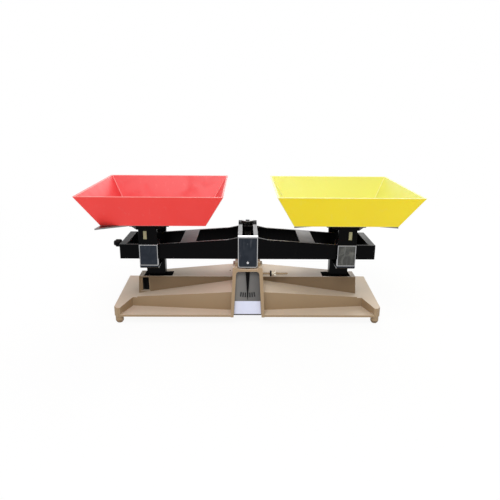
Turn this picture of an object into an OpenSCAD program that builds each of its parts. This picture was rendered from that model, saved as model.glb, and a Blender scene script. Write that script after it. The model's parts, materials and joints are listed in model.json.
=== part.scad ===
// Equal-arm school balance: a beam on a central knife edge carries two loose trays,
// and a check lever in the base keeps both tray carriers upright.
// X runs along the beam, +Y points to the back, +Z is up. The origin is on the ground
// below the central knife edge. All sizes are in millimetres.

/* [Beam] */
// Distance from the central knife edge to each end knife edge
arm_length = 112; // [104:0.5:120]
// Height of the three knife edges above the ground
knife_z = 80; // [79:0.5:90]
// Length of the beam frame beyond each end knife edge
beam_overhang = 33.5; // [28:0.5:40]
// Width of the beam frame from front to back
beam_depth = 58.6; // [54:0.2:64]
// Thickness of the two long rails
rail_wall = 3; // [2:0.1:4]
// Distance from the knife edges down to the underside of the beam
beam_drop = 10.2; // [9:0.1:11]
// Height of the beam at its ends
beam_end_height = 16.9; // [15:0.1:18]
// Height of the beam at its middle
beam_mid_height = 25.1; // [24:0.1:25.6]
// Length of the solid bar at each end of the beam
end_bar = 8; // [8:0.5:14]
// Length of each grey cross bar along the beam
cross_bar = 18; // [10:0.5:22]
// Distance from the middle of the beam to the middle of each cross bar
cross_bar_x = 68; // [60:0.5:74]
// Thickness of the cross bars
cross_bar_thick = 5; // [3:0.5:8]

/* [Knives and bearings] */
// Half the width of a knife
knife_half = 3.2; // [2.5:0.1:3.6]
// Height of a knife from its edge to its flat
knife_height = 8; // [7:0.1:8.5]
// Height of the sloping flanks of a knife
knife_flank = 4; // [3.6:0.1:4.4]
// Gap left between a knife edge and its vee
knife_gap = 0.05; // [0.02:0.01:0.1]
// Half angle of the vee notches
vee_half_angle = 50; // [49:0.5:55]
// Thickness of the bearing plates
bearing_plate = 1.8; // [1.4:0.1:1.8]

/* [Tray carriers] */
// Width of the carrier arms and of the chrome straps along the beam
strap_width = 20.8; // [18:0.2:24]
// Thickness of the chrome sheet
chrome_wall = 1; // [0.6:0.1:1.2]
// Thickness of the carrier arms from front to back
arm_thick = 3.4; // [3:0.1:4]
// Gap between the beam rails and what passes them
rail_gap = 0.7; // [0.6:0.1:1.5]
// Height of the top edge of the chrome straps
strap_top_z = 87.8; // [85:0.2:92]
// Height of the underside of the chrome straps
strap_low_z = 59.4; // [58:0.2:61]
// Length of the carrier platform along the beam
platform_width = 45; // [36:0.5:48]
// Depth of the carrier platform from front to back
platform_depth = 48; // [40:0.5:54]
// Height of the top of the carrier platform
platform_z = 113.4; // [112:0.2:118]
// Thickness of the carrier platform
platform_thick = 7.4; // [5:0.2:9]
// Reach of the platform's front and back lips from the middle
lip_reach = 38; // [36:0.5:44]
// Width of the posts that go down into the base
post_width = 22; // [16:0.2:24]
// Depth of the posts from front to back
post_depth = 11; // [8:0.5:12]

/* [Trays and plates] */
// Length of each side of a tray at its rim
tray_rim = 152; // [140:1:160]
// Length of each side of a tray at its floor
tray_floor = 112; // [100:1:118]
// Height of the trays
tray_height = 35; // [25:0.5:45]
// Thickness of the tray walls
tray_wall = 1.8; // [1.2:0.1:3]
// Distance from the middle of the balance to the middle of each tray
tray_x = 103.5; // [96:0.5:112]
// How far the red tray has been pushed towards the right from there
red_tray_slip = 2.2; // [0:0.1:4]
// How far the yellow tray and its plate have been pushed towards the right from there
yellow_tray_slip = 1.5; // [0:0.1:4]
// Reach of each arm of the steel plates
plate_reach = 79.2; // [70:0.2:84]
// Thickness of the steel plates
plate_thick = 1.6; // [1:0.1:2.5]
// Turn of the left plate under its tray, in degrees
left_plate_turn = 10; // [0:1:12]

/* [Base] */
// Length of the base
base_length = 302; // [292:1:330]
// Depth of the base from front to back
base_depth = 106; // [96:1:120]
// Height of the lower rim of the base above the ground
rim_z = 8.4; // [7:0.2:9]
// Height of the deck along its front and back edges
deck_edge_z = 19.2; // [18.2:0.2:21]
// Height of the crest of the deck
deck_crest_z = 26.4; // [25:0.2:28]
// Distance from the middle to the crest of the deck
deck_crest_y = 34; // [30:0.5:40]
// Height of the compartment floors
floor_z = 10.8; // [10:0.1:12]
// Distance from the middle to the back wall of the compartments at their outer ends
compartment_back = 26.5; // [24:0.5:29]
// Distance from the middle to the back wall of the compartments beside the tower
compartment_inner_back = 38.5; // [34:0.5:42]
// Thickness of the base walls
base_wall = 2.4; // [1.6:0.1:3]
// Length of the ridge beyond each end knife edge
ridge_reach = 17.5; // [16:0.5:24]
// Height of the top of the ridge
ridge_z = 42; // [40:0.2:43]
// Distance from the middle to the front edge of the ridge top
ridge_front = 11; // [10:0.2:12]
// Distance from the middle to the back edge of the ridge top at its ends
ridge_back = 9.4; // [9:0.1:11]
// Length of each well opening along the base
well_length = 34; // [32:0.5:38]

/* [Tower and dial] */
// Width of the dial housing at its foot
tower_foot_width = 38.2; // [36:0.2:44]
// Width of the dial housing at its top
tower_top_width = 34; // [34:0.5:36]
// Height of the top of the tower
tower_z = 66.2; // [65:0.2:66.6]
// Height of the top of the dial housing in front of the tower
housing_z = 61.4; // [60.6:0.1:61.6]
// Width of the tower beside the covers
tower_width = 28.8; // [28:0.2:33]
// Distance from the middle to the foot of the dial housing
tower_foot_y = 54.2; // [53.6:0.2:55]
// Distance from the middle to the top of the dial housing
tower_top_y = 34.6; // [34.6:0.2:36]
// Width of the dial window at its top
window_top_width = 26.6; // [22:0.2:27]
// Width of the dial window at its foot
window_foot_width = 31.8; // [28:0.2:32]
// Height of the top of the dial window
window_z = 57.4; // [54:0.2:58]
// Depth of the dial window, level to the back
window_depth = 6.3; // [6:0.1:7]
// Height of the lower edge of the label
label_low_z = 10.2; // [10:0.1:14]
// Height of the upper edge of the label
label_top_z = 24; // [20:0.2:25]
// Thickness of the dial plate
dial_thick = 1; // [0.8:0.1:1.2]
// Width of the chrome covers at the middle
cover_width = 22.4; // [20:0.2:24]
// Height of the foot of the chrome covers
cover_foot_z = 60.9; // [60:0.2:63]
// Height of the top of the chrome bridge over the beam
bridge_z = 98.2; // [98:0.1:102]
// Width of the opening in the chrome bridge
bridge_opening = 13; // [10:0.5:16]

/* [Pointer and adjusters] */
// Width of the pointer at its top
pointer_width = 5; // [4:0.2:6]
// Thickness of the pointer
pointer_thick = 0.8; // [0.5:0.1:0.8]
// Height of the tip of the pointer
pointer_tip_z = 26; // [24:0.2:30]
// Diameter of the knob on the end of the beam
knob_d = 9; // [7:0.2:12]
// Length of the knob on the end of the beam
knob_length = 9; // [8:0.5:14]
// Diameter of the brass rod beside the tower
rod_d = 2.4; // [2:0.1:3]
// Distance from the middle to the free end of the brass rod
rod_end_x = 47.2; // [42:0.2:52]
// Height of the brass rod
rod_z = 48.5; // [46:0.2:54]
// Diameter of the knurled nut on the brass rod
nut_d = 7; // [6:0.2:8]
// Length of the knurled nut
nut_length = 7; // [5:0.5:9]
// Distance from the middle to the near end of the knurled nut
nut_x = 26.2; // [24:0.2:34]

/* [Check lever] */
// Height of the pivot of the check lever
lever_z = 22; // [21:0.2:23]
// Height of the check lever at its middle
lever_height = 8; // [6:0.2:9]
// Diameter of the pins of the check lever
pin_d = 3; // [2.4:0.1:3.4]
// Radial gap round the turning pins
pin_gap = 0.05; // [0.03:0.01:0.1]
// Radial gap at the open pivots between the posts and the lever
open_pivot_gap = 0.35; // [0.3:0.05:0.5]

/* [Hidden] */
$fn = 48;

// Colours
beige = [0.72, 0.64, 0.52];
black = [0.05, 0.05, 0.06];
chrome = [0.78, 0.79, 0.80];
steel = [0.62, 0.63, 0.65];
brass = [0.72, 0.56, 0.28];
ivory = [0.72, 0.70, 0.52];

// Small shared allowance that carries a cut past the face it opens
over = 1;

// Beam
beam_half = arm_length + beam_overhang;
beam_low_z = knife_z - beam_drop;
beam_end_z = beam_low_z + beam_end_height;
beam_mid_z = beam_low_z + beam_mid_height;
shoulder_z = beam_mid_z - 2.2;
shoulder_x = 22;
crown_x = cover_width / 2 + 1;
taper_x = arm_length - 7;
rail_out = beam_depth / 2;
rail_in = rail_out - rail_wall;
arm_in = rail_out + rail_gap;
arm_out = arm_in + arm_thick;

// Carriers
strap_in = arm_out;
strap_out = strap_in + chrome_wall;
strap_bend = 4;
arm_core = strap_width - 2 * chrome_wall;
arm_foot_z = strap_low_z + strap_bend;
platform_low_z = platform_z - platform_thick;
window_half = knife_half * 2;
arm_window_room = 1;
arm_window_low = knife_z - knife_height - 2 * arm_window_room;
arm_window_top = knife_z + knife_flank + arm_window_room;
knife_reach = arm_in + 2.4;
lip_root = 38;
lip_tip = 21;
lip_thick = 4;
lip_shift = 1;
slot_insert_width = 3.9;
slot_insert_height = 9.5;
slot_insert_z = 94.2;
slot_insert_shift = 3;
slot_insert_sink = 2;
bearing_sink = 0.4;

// Plates and trays
plate_z = platform_z;
left_plate_slip = [-2.5, -3.7];
tray_z = plate_z + plate_thick;
tray_slope = (tray_rim - tray_floor) / 2 / tray_height;
tray_wall_level = tray_wall * sqrt(1 + tray_slope * tray_slope);

// Base
base_half = base_length / 2;
base_half_y = base_depth / 2;
deck_rise = (deck_crest_z - deck_edge_z) / (deck_crest_y + base_half_y);
deck_corner = 7;
ridge_half = arm_length + ridge_reach;
ridge_draft = 0.269;
ridge_wing_x = 20;
ridge_wing_y = 37;
shelf_end_z = 22.6;
shelf_middle_z = 34.8;
shelf_middle_back_z = 40.4;
compartment_corner = 16;
compartment_end_wall = 7;
well_x = arm_length - 5;
well_depth = 6;
channel_front = ridge_front - 2;
channel_back = ridge_back - 2;
channel_half = ridge_half - 2.5;
roof_wall = 2.5;
foot_x = base_half - 5;
foot_y = base_half_y - 5.2;
foot_d = 9;
foot_taper = 3;
foot_pad_height = 3.4;
foot_socket = 1.2;
foot_spigot_d = foot_d - 3;
// The notch at the left end of the ridge, wider at its mouth than inside
notch_end_wall = 4.1;
notch_width = 7.4;
notch_x = [-ridge_half + notch_end_wall, -ridge_half + notch_end_wall + notch_width];
notch_flare = 2.4;
notch_low_z = 24.5;
notch_top_z = ridge_z - 1.2;
// Blind hole in the ridge beside the tower
blind_hole = [-21.2, 11];
blind_hole_d = 2.2;
lever_pin_seat = 2;

// Tower
tower_slope = (tower_foot_y - tower_top_y) / (tower_z - rim_z);
tower_tilt = atan(tower_slope);
tower_body_front = arm_in;
tower_body_half = tower_width / 2;
dial_hollow_z = 34;
cover_fit = 0.3;
cover_corner = 2.7;
recess_half = cover_width / 2 + 1.1;
recess_low_z = window_z + 2.5;
recess_corner = 2.4;
dial_gap = window_depth - dial_thick / cos(tower_tilt);
pointer_gap = dial_gap - 1.6;
cover_in = arm_in + bearing_plate + 1.6;
cover_out = cover_in + chrome_wall;
cover_flange_y = arm_in + 0.2;
bridge_low_z = bridge_z - 1.2;
bearing_half = 9.4;
bearing_low_z = cover_foot_z + cover_fit + chrome_wall + 0.3;
bearing_top_z = knife_z + knife_flank;
pointer_y = arm_in + bearing_plate + 0.4;
pointer_out = pointer_y + pointer_thick;
bearing_screw_x = 7.2;
bearing_screw_z = 65;
bearing_screw_d = 2;
bearing_screw_depth = 4;
rivet_z = 67;
rivet_d = 1.6;
pointer_swing = pointer_width * 1.4;
knee_z = rim_z + (tower_foot_y - pointer_out - pointer_gap) / tower_slope;

// Bridge, pad and clip
front_flange = 3.2;
rear_flange = 8.2;
clip_screw_y = 31;
clip_screw_d = 2.4;
pad_thick = 1.7;
clip_thick = 1.1;

// Stud of the knob, and the blades of the posts
stud_d = 3.2;
stud_depth = 7;
stud_reach = 13;
knob_gap = 4.5;
blade_half = 5;
blade_y = 2.5;
blade_rise = 11;
blade_drop = 4;
blade_top_z = lever_z + blade_rise;
blade_low_z = lever_z - blade_drop;
// The posts are wider towards the middle than the straps that carry them
post_shift = 2.4;
post_shoulder_z = 68;
// Zero adjuster
rod_y = -ridge_front - 7;
rod_seat = 2 * base_wall;

// The sloping front of the tower at a given height
function face_y(z) = -tower_foot_y + (z - rim_z) * tower_slope;
// The top of the beam at a given distance from the middle
function beam_top(x) = x < crown_x ? beam_mid_z : x < shoulder_x ?
    beam_mid_z + (shoulder_z - beam_mid_z) * (x - crown_x) / (shoulder_x - crown_x) :
    x < taper_x ? shoulder_z + (beam_end_z - shoulder_z) * (x - shoulder_x) / (taper_x - shoulder_x) :
    beam_end_z;
// The deck of the base at a given distance from the middle, towards the back
function deck_z(y) = deck_edge_z + (y + base_half_y) * deck_rise;

// Shared shapes

// A plate drawn in X and Z, standing from one Y to another
module upright(y0, y1) {
    translate([0, y1, 0]) rotate([90, 0, 0]) linear_extrude(y1 - y0) children();
}

// A plate drawn in Y and Z, lying from one X to another
module along(x0, x1) {
    translate([x0, 0, 0]) rotate([90, 0, 90]) linear_extrude(x1 - x0) children();
}

// A round bar along X
module bar_x(x0, x1, y, z, d) {
    translate([x0, y, z]) rotate([0, 90, 0]) cylinder(h = x1 - x0, d = d);
}

// A round bar along Y
module bar_y(x, y0, y1, z, d) {
    translate([x, y1, z]) rotate([90, 0, 0]) cylinder(h = y1 - y0, d = d);
}

// A block between two corners
module block(low, high) {
    translate(low) cube(high - low);
}

// Everything twice, the second time mirrored from left to right
module both_sides() {
    children();
    mirror([1, 0, 0]) children();
}

// Everything twice, the second time mirrored from front to back
module front_and_back() {
    children();
    mirror([0, 1, 0]) children();
}

// Outline of a knife; up is 1 where the edge points up and -1 where it points down
module knife_outline(x, up) {
    polygon([
        [x, knife_z],
        [x + knife_half, knife_z - up * knife_flank],
        [x + knife_half, knife_z - up * knife_height],
        [x - knife_half, knife_z - up * knife_height],
        [x - knife_half, knife_z - up * knife_flank]
    ]);
}

// Outline of the vee that a knife rests in, opening by a given height
module vee_outline(x, up, opening) {
    vee = opening * tan(vee_half_angle);
    tip = knife_z + up * knife_gap;
    polygon([[x, tip], [x + vee, tip - up * opening], [x - vee, tip - up * opening]]);
}

// Base

module deck_outline() {
    polygon([
        [-base_half_y, rim_z],
        [-base_half_y, deck_edge_z],
        [deck_crest_y, deck_crest_z],
        [base_half_y, deck_edge_z],
        [base_half_y, rim_z]
    ]);
}

// Plan of the deck with its cut corners
module deck_plan() {
    x = base_half;
    y = base_half_y;
    c = deck_corner / 2;
    polygon([
        [-x, -y + c], [-x + c, -y], [x - c, -y], [x, -y + c],
        [x, y - c], [x - c, y], [-x + c, y], [-x, y - c]
    ]);
}

// Plan of the open compartment on the right
module compartment_plan() {
    polygon([
        [0, -base_half_y - over], [base_half - compartment_end_wall, -base_half_y - over],
        [base_half - compartment_end_wall, -base_half_y],
        [base_half - compartment_corner, -compartment_back],
        [tower_foot_width / 2, -compartment_inner_back], [0, -compartment_inner_back]
    ]);
}

module deck() {
    difference() {
        intersection() {
            along(-base_half, base_half) deck_outline();
            linear_extrude(deck_crest_z + over) deck_plan();
        }
        both_sides() translate([0, 0, floor_z]) linear_extrude(deck_crest_z) compartment_plan();
    }
}

// Back wall of a compartment at a given distance from the middle
function wall_y(x) = -compartment_back - (compartment_inner_back - compartment_back)
    * (base_half - compartment_corner - x)
    / (base_half - compartment_corner - tower_foot_width / 2);

// The ramp behind each compartment, which climbs towards the tower
module shelf() {
    back = ridge_front + (ridge_z - shelf_end_z) * ridge_draft;
    slice = 0.1;
    hull() {
        along(0, slice) polygon([
            [wall_y(0), rim_z], [wall_y(0), shelf_middle_z],
            [-ridge_front, shelf_middle_back_z], [-ridge_front, rim_z]
        ]);
        along(ridge_half, ridge_half + slice) polygon([
            [wall_y(ridge_half), rim_z], [wall_y(ridge_half), shelf_end_z],
            [-back, deck_z(-back)], [-ridge_front, deck_z(-ridge_front)], [-ridge_front, rim_z]
        ]);
    }
}

module ridge() {
    foot = (ridge_z - rim_z) * ridge_draft;
    along(-ridge_half, ridge_half) polygon([
        [-ridge_front - foot, rim_z], [-ridge_front, ridge_z],
        [ridge_back, ridge_z], [ridge_back + 3, rim_z]
    ]);
    translate([0, 0, rim_z]) linear_extrude(ridge_z - rim_z) polygon([
        [-well_x - well_length / 2, ridge_back], [-ridge_wing_x, ridge_wing_y],
        [ridge_wing_x, ridge_wing_y], [well_x + well_length / 2, ridge_back]
    ]);
}

module dial_housing() {
    hull() {
        block([-tower_foot_width / 2, -tower_foot_y, rim_z], [tower_foot_width / 2, -10, rim_z + 0.1]);
        block(
            [-tower_top_width / 2, face_y(housing_z), housing_z - 0.1],
            [tower_top_width / 2, -10, housing_z]
        );
    }
}

module tower_body() {
    block([-tower_body_half, -tower_body_front, rim_z], [tower_body_half, ridge_wing_y, tower_z]);
}

// Upright outline with a rounded foot
module footed_outline(half, low, corner, top) {
    translate([-half, low + corner]) square([2 * half, top - low - corner]);
    translate([-half + corner, low]) square([2 * (half - corner), 2 * corner]);
    for (side = [-1, 1])
        translate([side * (half - corner), low + corner]) circle(r = corner);
}

// Outline of a chrome cover, or of its inside when an inset is given
module cover_outline(inset, top) {
    footed_outline(cover_width / 2 - inset, cover_foot_z + cover_fit + inset, cover_corner - inset, top);
}

// Rounded recess that takes the foot of a chrome cover
module cover_recess(y0, y1) {
    upright(y0, y1) footed_outline(recess_half, recess_low_z, recess_corner, tower_z + over);
}

// Outline of the dial window in X and height
module window_outline(trim) {
    top = window_top_width / 2 - trim;
    foot = window_foot_width / 2 - trim;
    corner = 3;
    bow = corner * 0.3;
    polygon([
        [-foot, rim_z - over], [foot, rim_z - over], [top, window_z - corner - trim],
        [top - bow, window_z - trim - bow], [top - corner, window_z - trim],
        [-top + corner, window_z - trim], [-top + bow, window_z - trim - bow],
        [-top, window_z - corner - trim]
    ]);
}

// A slab that follows the sloping front of the tower, from one level depth to another
module front_slab(depth0, depth1, z0, z1) {
    along(-tower_foot_width, tower_foot_width) polygon([
        [face_y(z0) + depth0, z0], [face_y(z0) + depth1, z0],
        [face_y(z1) + depth1, z1], [face_y(z1) + depth0, z1]
    ]);
}

module dial_window() {
    intersection() {
        front_slab(-2, window_depth, rim_z - over, window_z);
        upright(-tower_foot_y - 5, 0) window_outline(0);
    }
}

// Way for the pointer from the cover recess down into the dial window
module pointer_way() {
    block(
        [-pointer_swing, -pointer_out - pointer_thick * 1.6, window_z - over],
        [pointer_swing, -arm_in - over, cover_foot_z + over]
    );
}

// Hollow of the base seen from below, which holds the check lever
module base_hollow() {
    deck_roof = deck_edge_z - base_wall;
    thick_wall = 2 * base_wall;
    end_wall = 3 * base_wall;
    // Channel of the check lever
    block([-channel_half, -channel_front, -over], [channel_half, channel_back, ridge_z - roof_wall]);
    // Hollow under the ramps
    both_sides() block(
        [tower_foot_width / 2, -compartment_back + base_wall, -over],
        [ridge_half - base_wall, -channel_front - base_wall, shelf_end_z - base_wall]
    );
    // Hollow of the dial housing behind the dial
    block([-tower_body_half + base_wall, face_y(dial_hollow_z) + window_depth + base_wall, -over],
        [tower_body_half - base_wall, -channel_front - base_wall, dial_hollow_z]);
    // Hollow under the back of the deck
    block([-base_half + end_wall, channel_back + thick_wall, -over],
        [base_half - end_wall, base_half_y - end_wall, deck_roof]);
    // Hollow of the tower
    block([-tower_body_half + base_wall, channel_back + thick_wall, -over],
        [tower_body_half - base_wall, tower_body_front - base_wall, tower_z - 10]);
    // Hollow of the ends
    both_sides() block(
        [ridge_half + end_wall, -compartment_back + thick_wall, -over],
        [base_half - thick_wall, base_half_y - 2 * end_wall, deck_roof]
    );
}

// Plan of the notch, with its flared mouth in front
module notch_plan() {
    mouth = notch_x + [-notch_flare, notch_flare];
    face = -ridge_front - notch_flare;
    polygon([
        [mouth[0], -ridge_wing_y], [mouth[1], -ridge_wing_y], [mouth[1], face - notch_flare / 2],
        [notch_x[1], face + notch_flare], [notch_x[1], -channel_front + 2 * over],
        [notch_x[0], -channel_front + 2 * over], [notch_x[0], face + notch_flare],
        [mouth[0], face - notch_flare / 2]
    ]);
}

module base_casting() {
    color(beige) difference() {
        union() {
            deck();
            ridge();
            both_sides() shelf();
            dial_housing();
            tower_body();
            for (x = [-foot_x, foot_x], y = [-foot_y, foot_y])
                translate([x, y, foot_pad_height]) cylinder(h = rim_z, d = foot_d);
        }
        base_hollow();
        both_sides() block(
            [well_x - well_length / 2, -channel_front, ridge_z - well_depth],
            [well_x + well_length / 2, channel_back, ridge_z + over]
        );
        translate([0, 0, notch_low_z]) linear_extrude(notch_top_z - notch_low_z) notch_plan();
        dial_window();
        cover_recess(-tower_foot_y, -arm_in);
        cover_recess(arm_in, tower_foot_y);
        pointer_way();
        bar_y(0, -channel_front - lever_pin_seat, channel_back + lever_pin_seat, lever_z, pin_d);
        bar_x(tower_body_half - rod_seat, tower_foot_width, rod_y, rod_z, rod_d);
        translate([blind_hole[0], blind_hole[1], ridge_z - well_depth])
            cylinder(h = well_depth + over, d = blind_hole_d);
        for (x = [-foot_x, foot_x], y = [-foot_y, foot_y])
            translate([x, y, 0]) cylinder(h = foot_pad_height + foot_socket, d = foot_spigot_d);
        front_and_back() for (side = [-1, 1]) bar_y(
            bearing_screw_x * side, -arm_in - over, -arm_in + bearing_screw_depth,
            bearing_screw_z, bearing_screw_d
        );
    }
}

module foot_pads() {
    color(beige * 0.8) for (x = [-foot_x, foot_x], y = [-foot_y, foot_y]) translate([x, y, 0]) {
        translate([0, 0, foot_pad_height - 1]) cylinder(h = 1, d = foot_d);
        cylinder(h = foot_pad_height - 1, d1 = foot_d - foot_taper, d2 = foot_d);
        cylinder(h = foot_pad_height + foot_socket, d = foot_spigot_d);
    }
}

module dial_plate() {
    color([0.47, 0.47, 0.46]) intersection() {
        front_slab(dial_gap, window_depth, rim_z + over / 2, window_z);
        upright(-tower_foot_y, 0) window_outline(0);
    }
}

// Seven graduations on rays from the central knife edge
module dial_marks() {
    mark_count = 7;
    mark_step = 3;
    mark_width = 1.7;
    mark_top = 33.2;
    mark_length = 5;
    ink_thick = 0.2;
    color(black) intersection() {
        front_slab(dial_gap - ink_thick, dial_gap, mark_top - 2 * mark_length, mark_top + mark_length);
        upright(-tower_foot_y, 0) translate([0, knife_z])
            for (k = [0 : mark_count - 1])
                rotate((k - (mark_count - 1) / 2) * mark_step)
                    translate([-mark_width / 2, mark_top - knife_z - mark_length])
                        square([mark_width, mark_length]);
    }
}

module label_plate() {
    label_thick = 0.3;
    color([0.84, 0.86, 0.96]) intersection() {
        front_slab(dial_gap - label_thick, dial_gap, label_low_z, label_top_z);
        upright(-tower_foot_y, 0) window_outline(label_thick);
    }
}

// Bearings and covers at the middle

module bearing_plate_outline() {
    difference() {
        translate([-bearing_half, bearing_low_z])
            square([2 * bearing_half, bearing_top_z - bearing_low_z]);
        vee_outline(0, -1, 2 * knife_flank);
        for (side = [-1, 1])
            translate([side * bearing_screw_x, bearing_screw_z]) circle(d = bearing_screw_d);
    }
}

module front_bearing_plate() {
    color(steel) upright(-arm_in - bearing_plate, -arm_in) bearing_plate_outline();
}

module back_bearing_plate() {
    color(steel) upright(arm_in, arm_in + bearing_plate) bearing_plate_outline();
}

module bearing_screws() {
    head = 0.9;
    y = arm_in + bearing_plate;
    color(steel) front_and_back() for (side = [-1, 1]) {
        bar_y(side * bearing_screw_x, -y, -arm_in + bearing_screw_depth, bearing_screw_z, bearing_screw_d);
        bar_y(side * bearing_screw_x, -y - head, -y, bearing_screw_z, 2 * bearing_screw_d);
    }
}

// Chrome cover at the front, open towards the beam
module chrome_cover() {
    difference() {
        upright(-cover_out, -cover_flange_y) cover_outline(0, bridge_low_z);
        upright(-cover_in, 0) cover_outline(chrome_wall, bridge_z);
        bar_y(0, -cover_out - over, -cover_in + over, rivet_z, rivet_d);
        // Way for the pointer through the foot
        block(
            [-pointer_swing, -pointer_out - pointer_thick / 2, cover_foot_z - over],
            [pointer_swing, 0, cover_foot_z + cover_corner]
        );
    }
}

module front_cover() {
    color(chrome) chrome_cover();
}

module back_cover() {
    color(chrome) mirror([0, 1, 0]) chrome_cover();
}

module cover_rivets() {
    head = 0.5;
    color(chrome) front_and_back() {
        bar_y(0, -cover_out, -cover_in, rivet_z, rivet_d);
        bar_y(0, -cover_out - head, -cover_out, rivet_z, rivet_d + 1.2);
    }
}

// Chrome bridge over the beam, which joins the two covers
module top_bridge() {
    color(chrome) difference() {
        block([-cover_width / 2, -cover_out, bridge_low_z], [cover_width / 2, cover_out, bridge_z]);
        block(
            [-bridge_opening / 2, -cover_out + front_flange, bridge_low_z - over],
            [bridge_opening / 2, cover_out - rear_flange, bridge_z + over]
        );
        clip_screw_hole(bridge_low_z);
    }
}

module clip_screw_hole(z) {
    translate([0, clip_screw_y, z - over]) cylinder(h = 4 * over, d = clip_screw_d);
}

module rear_pad() {
    half = cover_width / 2;
    color(black) difference() {
        block([-half, cover_out - rear_flange, bridge_z], [half, cover_out, bridge_z + pad_thick]);
        clip_screw_hole(bridge_z);
    }
}

// Bright clip with a rounded front edge, held by a slotted screw
module rear_clip() {
    half = cover_width / 2;
    strip = 2.6;
    z = bridge_z + pad_thick;
    color(chrome) difference() {
        union() {
            block([-half, cover_out - strip, z], [half, cover_out, z + clip_thick]);
            intersection() {
                translate([0, cover_out, z]) cylinder(h = clip_thick, r = rear_flange);
                block([-half, 0, z], [half, cover_out, z + clip_thick]);
            }
        }
        clip_screw_hole(z);
    }
}

module clip_screw() {
    head_z = bridge_z + pad_thick + clip_thick;
    head = 0.9;
    slot_half = 0.35;
    reach = 2 * clip_screw_d;
    color(steel) difference() {
        union() {
            translate([0, clip_screw_y, bridge_low_z]) cylinder(h = head_z - bridge_low_z, d = clip_screw_d);
            translate([0, clip_screw_y, head_z]) cylinder(h = head, d = 2 * clip_screw_d);
        }
        block(
            [-reach, clip_screw_y - slot_half, head_z + head / 2],
            [reach, clip_screw_y + slot_half, head_z + 2 * head]
        );
    }
}

// Zero adjuster beside the tower

module zero_rod() {
    color(brass) bar_x(tower_body_half - rod_seat, rod_end_x, rod_y, rod_z, rod_d);
}

// Knurled nut with a collar at each end
module zero_nut() {
    collar = nut_length * 0.28;
    far = nut_x + nut_length;
    color(steel) difference() {
        union() {
            bar_x(nut_x, far, rod_y, rod_z, nut_d * 0.72);
            bar_x(nut_x, nut_x + collar, rod_y, rod_z, nut_d);
            bar_x(far - collar, far, rod_y, rod_z, nut_d);
        }
        bar_x(nut_x - over, far + over, rod_y, rod_z, rod_d + 2 * pin_gap);
    }
}

// Beam

module beam_outline() {
    polygon([
        [-beam_half, beam_low_z], [-beam_half, beam_end_z], [-taper_x, beam_end_z],
        [-shoulder_x, shoulder_z], [-crown_x, beam_mid_z], [crown_x, beam_mid_z],
        [shoulder_x, shoulder_z], [taper_x, beam_end_z], [beam_half, beam_end_z],
        [beam_half, beam_low_z]
    ]);
}

module beam_frame() {
    inner = beam_half - end_bar;
    color(black) difference() {
        union() {
            difference() {
                upright(-rail_out, rail_out) beam_outline();
                block([-inner, -rail_in, beam_low_z - over], [inner, rail_in, beam_mid_z + over]);
            }
            intersection() {
                upright(-rail_in, rail_in) difference() {
                    beam_outline();
                    translate([0, -cross_bar_thick]) beam_outline();
                }
                both_sides() block(
                    [cross_bar_x - cross_bar / 2, -rail_in, beam_low_z],
                    [cross_bar_x + cross_bar / 2, rail_in, beam_mid_z]
                );
            }
        }
        upright(-rail_out - over, rail_out + over) {
            knife_outline(0, -1);
            knife_outline(-arm_length, 1);
            knife_outline(arm_length, 1);
        }
        bar_x(-beam_half - over, -beam_half + stud_depth, 0, knife_z, stud_d);
    }
}

module centre_knife() {
    color(steel) upright(-pointer_out, pointer_out) knife_outline(0, -1);
}

module left_knife() {
    color(steel) upright(-knife_reach, knife_reach) knife_outline(-arm_length, 1);
}

module right_knife() {
    color(steel) upright(-knife_reach, knife_reach) knife_outline(arm_length, 1);
}

// Pointer that hangs from the front end of the central knife, in front of the dial
module pointer() {
    level = pointer_thick / cos(tower_tilt);
    top = knife_z + knife_height + 2;
    hub = knife_half + 1.8;
    hub_low = knife_z - knife_flank;
    stem_z = knife_z - 10;
    half = pointer_width / 2;
    point = 0.15;
    tip_y = face_y(pointer_tip_z) + pointer_gap;
    color(black) intersection() {
        along(-hub, hub) polygon([
            [-pointer_out, top], [-pointer_out, knee_z], [tip_y, pointer_tip_z],
            [tip_y + level, pointer_tip_z], [-pointer_y, knee_z], [-pointer_y, top]
        ]);
        upright(-tower_foot_y, 0) difference() {
            polygon([
                [-hub, top], [hub, top], [hub, hub_low], [half, stem_z],
                [half, window_z], [point, pointer_tip_z], [-point, pointer_tip_z],
                [-half, window_z], [-half, stem_z], [-hub, hub_low]
            ]);
            knife_outline(0, -1);
        }
    }
}

module knob_stud() {
    color(steel) bar_x(-beam_half - stud_reach, -beam_half + stud_depth, 0, knife_z, stud_d);
}

module zero_knob() {
    x1 = -beam_half - knob_gap;
    x0 = x1 - knob_length;
    step = 1.2;
    color(black) difference() {
        union() {
            bar_x(x0 + step, x1, 0, knife_z, knob_d);
            bar_x(x0, x0 + 2 * step, 0, knife_z, knob_d - 2 * step);
        }
        bar_x(x0 - over, x1 + over, 0, knife_z, stud_d + 2 * pin_gap);
    }
}

// Check lever in the base

module check_lever() {
    mid = lever_height / 2;
    tip = lever_height * 0.31;
    half_y = post_depth / 2;
    reach = arm_length + 5.5;
    taper = arm_length * 0.54;
    hub = arm_length * 0.18;
    slot = blade_half + 3;
    slot_y = blade_y + 0.5;
    color(steel) difference() {
        upright(-half_y, half_y) polygon([
            [-reach, lever_z - tip], [-taper, lever_z - tip], [-hub, lever_z - mid],
            [hub, lever_z - mid], [taper, lever_z - tip], [reach, lever_z - tip],
            [reach, lever_z + tip], [taper, lever_z + tip], [hub, lever_z + mid],
            [-hub, lever_z + mid], [-taper, lever_z + tip], [-reach, lever_z + tip]
        ]);
        bar_y(0, -half_y - over, half_y + over, lever_z, pin_d + 2 * pin_gap);
        both_sides() {
            block([arm_length - slot, -slot_y, 0], [reach + over, slot_y, 2 * lever_z]);
            bar_y(arm_length, -half_y - over, half_y + over, lever_z, pin_d + 2 * open_pivot_gap);
        }
    }
}

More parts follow.
